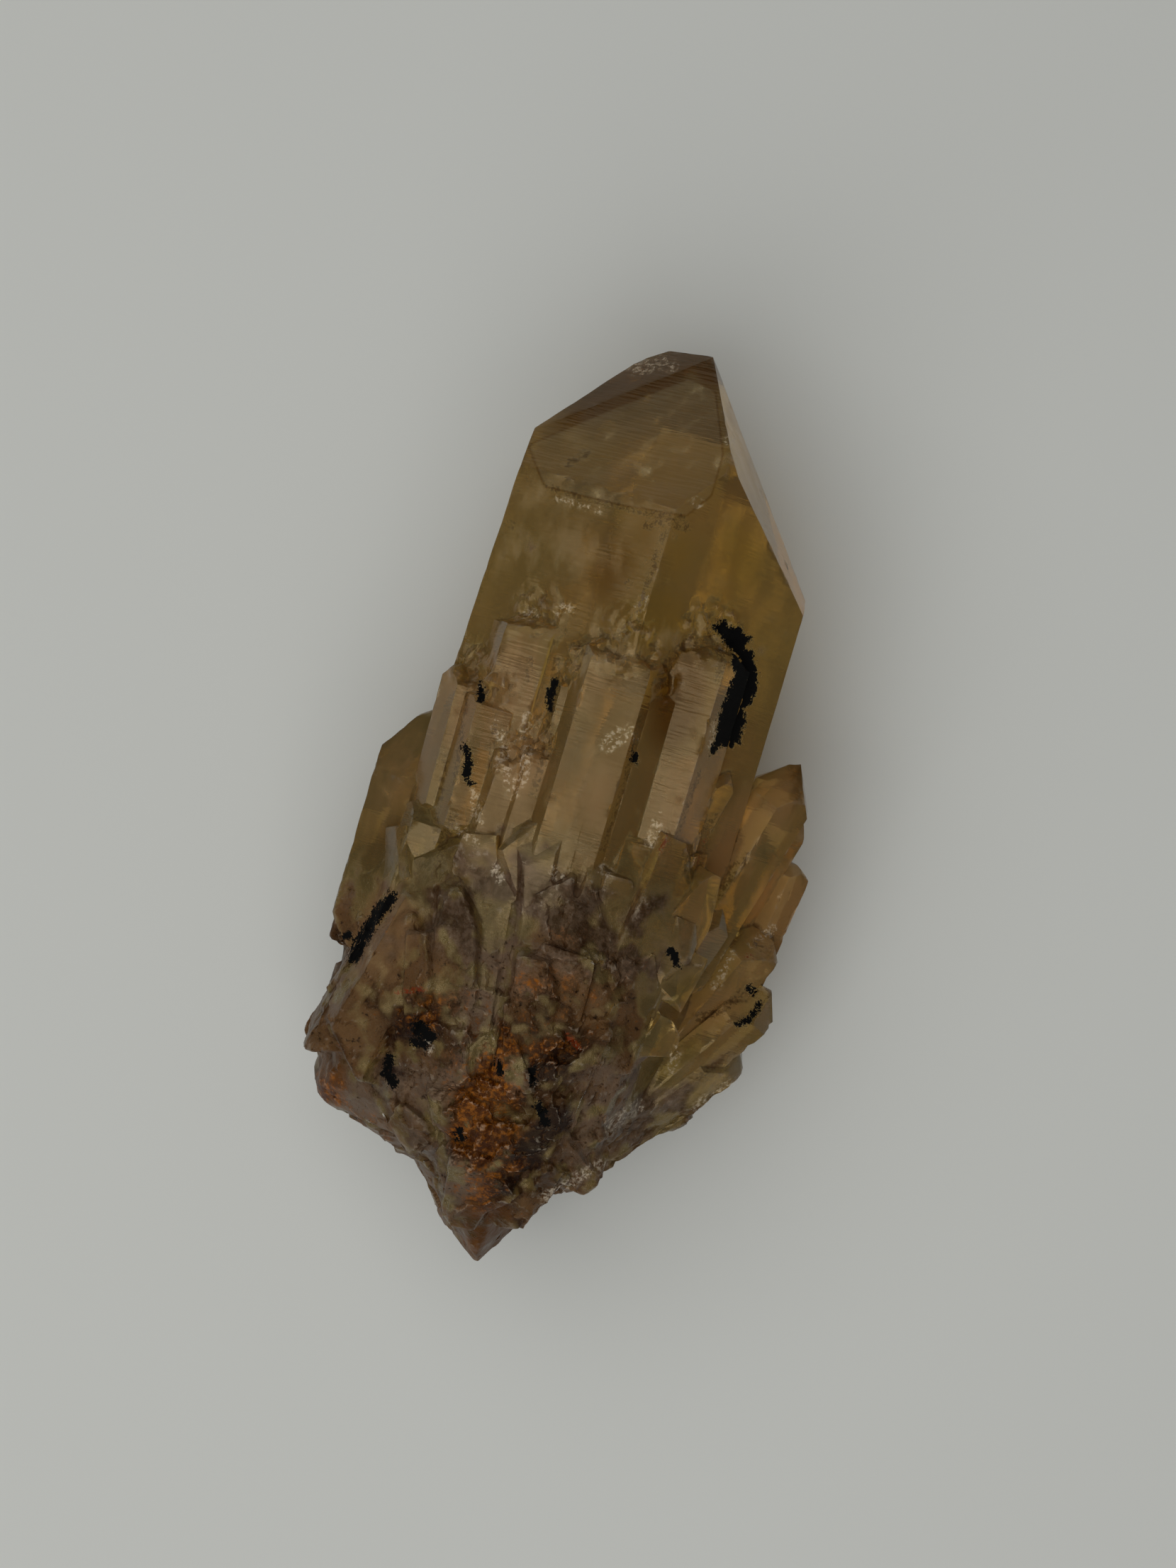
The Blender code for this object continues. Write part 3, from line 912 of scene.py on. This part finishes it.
def zone_shares(n, p):
    """How much there is of each zone and of the broken root, frayed by the patterns."""
    fine_and_mottle = n.math("MULTIPLY", n.math("ADD", p.fine, p.mottle), 0.5)
    rows = (
        # zone, pattern, how far the pattern frays it
        ("milk", p.mottle, 0.9),
        ("rust", fine_and_mottle, 2.0),
        ("dark", fine_and_mottle, 1.8),
        ("peach", p.streaks, 0.6),
        ("brown", p.broad, 0.4),
        ("yellow", p.broad, 0.5),
        ("veil", p.wisps, 1.6),
    )
    shares = {
        name: n.ramp(n.math("ADD", n.attribute(name), n.swing(pattern, spread)), *ZONE_RAMP)
        for name, pattern, spread in rows
    }
    shares["root"] = n.ramp(n.math("ADD", n.attribute("root"), n.swing(p.mottle, 1.8)), *ROOT_RAMP)
    return SimpleNamespace(**shares)


def point_color(n, p, zone):
    """The clear points: yellow to olive, with honey, brown and hazy places."""
    color = n.mix(n.ramp(p.broad, 0.35, 0.65), CLEAR, OLIVE)
    color = n.mix(zone.yellow, color, HONEY)
    color = n.mix(zone.brown, color, BROWN)
    return n.mix(n.math("MULTIPLY", zone.veil, 0.7), color, VEIL)


def root_color(n, p):
    """The broken root: brown and tan faces with milky patches, rusty grains, and dark specks that are
    painted shade of pits.
    """
    patch = n.math("ADD", n.math("MULTIPLY", p.facets, 0.5), n.math("MULTIPLY", p.mottle, 0.5))
    # Darker near the rust and near the dark zones of painted shade
    near_rust_and_shade = n.math("ADD", n.attribute("dark"), n.attribute("rust"))
    patch = n.math("SUBTRACT", patch, n.math("MULTIPLY", near_rust_and_shade, 0.22))
    color = n.mix(n.ramp(patch, 0.26, 0.58), ROOT_BROWN, ROOT_TAN)
    milky = n.math("ADD", p.broad, n.swing(p.fine, 0.6))
    color = n.mix(n.ramp(milky, 0.5, 0.7, 0.0, 0.8), color, MILK)
    color = n.mix(n.ramp(p.grain, 0.58, 0.72, 0.0, 0.6), color, MILK)
    color = n.mix(n.ramp(p.fine, 0.58, 0.72, 0.0, 0.5), color, RUST_BRIGHT)
    # Dark specks: painted shade of pits
    return n.mix(n.ramp(p.fine, 0.42, 0.30, 0.0, 0.9), color, DARK)


def stone_color(n, p, zone):
    """The points and the root, with the zones that run over both."""
    color = n.mix(zone.root, point_color(n, p, zone), root_color(n, p))
    peach = n.math("MULTIPLY", zone.peach, n.blend(zone.root, 1.0, 0.7))
    color = n.mix(peach, color, n.mix(zone.root, PEACH, ROOT_PEACH))
    color = n.mix(n.math("MULTIPLY", zone.brown, zone.root), color, ROOT_AMBER)
    milk_light = n.blend(0.5, n.ramp(p.fine, 0.40, 0.62), n.ramp(p.facets, 0.2, 0.8))
    color = n.mix(zone.milk, color, n.mix(milk_light, MILK_DEEP, MILK))
    # The dark zones: painted shade of the root's cavities
    color = n.mix(zone.dark, color, DARK)
    return n.mix(zone.rust, color, n.mix(n.ramp(p.fine, 0.42, 0.66), RUST, RUST_BRIGHT))


def light_through(n, zone):
    """How much light goes through each zone."""
    through = n.blend(n.math("MULTIPLY", zone.veil, 0.8), THROUGH_CLEAR, THROUGH_VEIL)
    through = n.blend(zone.peach, through, THROUGH_PEACH)
    through = n.blend(zone.root, through, THROUGH_ROOT)
    through = n.blend(zone.milk, through, THROUGH_MILK)
    through = n.blend(zone.dark, through, THROUGH_DARK)
    return n.blend(zone.rust, through, THROUGH_RUST)


def face_color(n, p, zone, color):
    """The end face is paler, a painted sheen, with a fine brown rim, and neighbouring faces differ a
    little in tone by the way they look, a painted shading.
    """
    face = n.attribute("end_face")
    # Painted sheen on the end face
    color = n.mix(n.ramp(face, 0.04, -0.04, 0.0, 0.7), color, END_FACE_SHEEN)
    rim = n.math("ABSOLUTE", n.math("ADD", face, n.swing(p.grain, 0.3)))
    color = n.mix(n.math("MULTIPLY", n.ramp(rim, 0.2, 0.0), 0.7), color, BROWN)
    # Painted shading: each face lighter or darker by the way it looks
    tone = n.math("MULTIPLY", n.attribute("tone"), n.blend(zone.root, 0.16, 0.26))
    node = n.add("ShaderNodeHueSaturation", Color=color, Value=n.math("ADD", tone, 1.0))
    return node.outputs["Color"]


def crease_shade_and_bright_edges(n, p, zone, color, through):
    """Painted shade in the creases between the points, and white along their edges that is partly bruises
    and partly a painted highlight.
    """
    edge = n.attribute("edge")
    # Darker and less see-through in the creases: painted shade
    crease_shade = n.ramp(n.math("SUBTRACT", n.swing(p.fine, 1.6), edge), 0.25, 1.1)
    color = n.mix(n.math("MULTIPLY", crease_shade, 0.8), color, CREASE_SHADE)
    through = n.blend(n.math("MULTIPLY", crease_shade, 0.5), through, THROUGH_CREASE_SHADE)
    # White along sharp edges: partly bruises, partly a painted edge highlight
    worn = n.ramp(n.math("ADD", edge, n.swing(p.fine, 3.0, 0.60)), 0.35, 1.0)
    color = n.mix(n.math("MULTIPLY", worn, n.blend(zone.root, 0.45, 0.2)), color, WHITE)
    return color, through


def marks(n, p, color, through):
    """White bruises and painted highlights, brown lines, thin red lines, and the ragged black patch and
    spots.

    Gives the colour, how much light goes through, and the share of black.
    """
    ragged = n.math("ADD", n.swing(p.fine, 1.7), n.swing(p.grain, 1.2))
    frayed = n.swing(p.grain, 0.9)
    for name, mark, soft, fray, strength, opaque in (
        # mark, colour, soft edge in mm, how it frays, how full it is, how far it stops light
        # The white marks are partly painted highlights and reflecting facets
        ("white", WHITE, 0.5, frayed, n.ramp(p.specks, 0.42, 0.66, 0.0, 0.7), 0.6),
        ("scribble", SCRIBBLE, 0.25, frayed, n.ramp(p.specks, 0.40, 0.58, 0.15, 0.85), 0.4),
        ("red", RED, 0.12, frayed, n.ramp(p.specks, 0.40, 0.55, 0.1, 0.9), 0.8),
        ("ink", BLACK_MARK, 0.18, ragged, 1.0, 1.0),
    ):
        away = n.math("ADD", n.attribute(name), fray)
        share = n.math("MULTIPLY", n.ramp(away, soft, 0.0), strength)
        color = n.mix(share, color, mark)
        through = n.blend(n.math("MULTIPLY", share, opaque), through, 0.0)
    return color, through, share


def citrine_material():
    """See-through smoky yellow quartz: clear and hazy in the points, milky, rusty and dark in the root."""
    material = bpy.data.materials.new("citrine")
    material.use_nodes = True
    tree = material.node_tree
    n = Nodes(tree)
    shader = tree.nodes["Principled BSDF"]
    p = stone_patterns(n)
    zone = zone_shares(n, p)
    color = face_color(n, p, zone, stone_color(n, p, zone))
    color, through = crease_shade_and_bright_edges(n, p, zone, color, light_through(n, zone))
    color, through, black = marks(n, p, color, through)
    n.put(shader.inputs["Base Color"], color)
    n.put(shader.inputs["Transmission Weight"], through)
    dull = n.math("MAXIMUM", n.math("MULTIPLY", zone.root, 0.75), black)
    n.put(shader.inputs["Specular Tint"], n.mix(dull, GLOSS_CLEAR, GLOSS_DULL))
    rough = n.blend(black, n.blend(zone.root, ROUGH_CLEAR, ROUGH_ROOT), ROUGH_BLACK_MARK)
    rough = n.math("ADD", rough, n.swing(p.fine, ROUGH_SWING), clamp=True)
    n.put(shader.inputs["Roughness"], rough)
    shader.inputs["IOR"].default_value = QUARTZ_IOR

    # Growth lines across the points, grain on the root
    growth = n.math("MULTIPLY", p.growth_lines, 0.10)
    height = n.blend(n.attribute("root"), growth, n.math("MULTIPLY", p.fine, 0.5))
    bump = n.add("ShaderNodeBump", Height=height, Strength=BUMP_STRENGTH, Distance=BUMP_DEPTH)
    n.put(shader.inputs["Normal"], bump.outputs["Normal"])

    volume = n.add("ShaderNodeVolumeAbsorption")
    volume.inputs["Color"].default_value = ABSORBED
    volume.inputs["Density"].default_value = ABSORPTION
    tree.links.new(volume.outputs["Volume"], tree.nodes["Material Output"].inputs["Volume"])
    return material


def crystal():
    made = bpy.data.objects.new("citrine_crystal", build_mesh())
    bpy.context.scene.collection.objects.link(made)
    made.data.materials.append(citrine_material())
    made.data.shade_smooth()
    made.data.set_sharp_from_angle(angle=math.radians(SHARP_ANGLE))
    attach(made, "root")
    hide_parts(NODE)
    return made


# Surroundings

ROOM_LIGHT = 0.11
WINDOW_POWER = 1.90
FILL_POWER = 2.85

# Places in metres
WINDOW_PLACE = (-0.26, 0.14, 0.62)
FILL_PLACE = (-0.02, -0.44, 0.60)
LAMP_SIZE = 0.8
LAMP_TARGET = (0, 0, 0.01)

FLOOR_COLOR = (0.655, 0.665, 0.628, 1)
FLOOR_ROUGHNESS = 0.9
FLOOR_GLOSS = 0.1
FLOOR_REACH = 1.2
FLOOR_Z = -0.05 * MM

LIGHT_BOUNCES = 7
DIFFUSE_BOUNCES = 2


def paper_floor():
    """A plain pale sheet of paper, far larger than the view."""
    mesh = bpy.data.meshes.new("paper")
    signs = ((-1, -1), (1, -1), (1, 1), (-1, 1))
    corners = [(x * FLOOR_REACH, y * FLOOR_REACH, FLOOR_Z) for x, y in signs]
    mesh.from_pydata(corners, [], [(0, 1, 2, 3)])
    made = bpy.data.objects.new("paper", mesh)
    bpy.context.scene.collection.objects.link(made)
    material = bpy.data.materials.new("paper")
    material.use_nodes = True
    shader = material.node_tree.nodes["Principled BSDF"]
    shader.inputs["Base Color"].default_value = FLOOR_COLOR
    shader.inputs["Roughness"].default_value = FLOOR_ROUGHNESS
    shader.inputs["Specular IOR Level"].default_value = FLOOR_GLOSS
    mesh.materials.append(material)


def lamp(name, place, power):
    """A soft square light that faces the specimen."""
    data = bpy.data.lights.new(name, "AREA")
    data.shape = "SQUARE"
    data.size = LAMP_SIZE
    data.energy = power
    made = bpy.data.objects.new(name, data)
    made.location = place
    bpy.context.scene.collection.objects.link(made)
    way = Vector(LAMP_TARGET) - made.location
    made.rotation_euler = way.to_track_quat("-Z", "Y").to_euler()


def soft_light():
    """Even daylight, strongest from the upper left, with a weaker fill from below the picture."""
    world = bpy.data.worlds.new("room")
    world.use_nodes = True
    back = world.node_tree.nodes["Background"]
    back.inputs["Color"].default_value = (1.0, 1.0, 1.0, 1)
    back.inputs["Strength"].default_value = ROOM_LIGHT
    bpy.context.scene.world = world
    lamp("window", WINDOW_PLACE, WINDOW_POWER)
    lamp("fill", FILL_PLACE, FILL_POWER)


photo_camera()
crystal()
paper_floor()
soft_light()
bpy.context.scene.view_settings.view_transform = "Standard"
bpy.context.scene.cycles.max_bounces = LIGHT_BOUNCES
bpy.context.scene.cycles.diffuse_bounces = DIFFUSE_BOUNCES
bpy.context.scene.cycles.transmission_bounces = LIGHT_BOUNCES
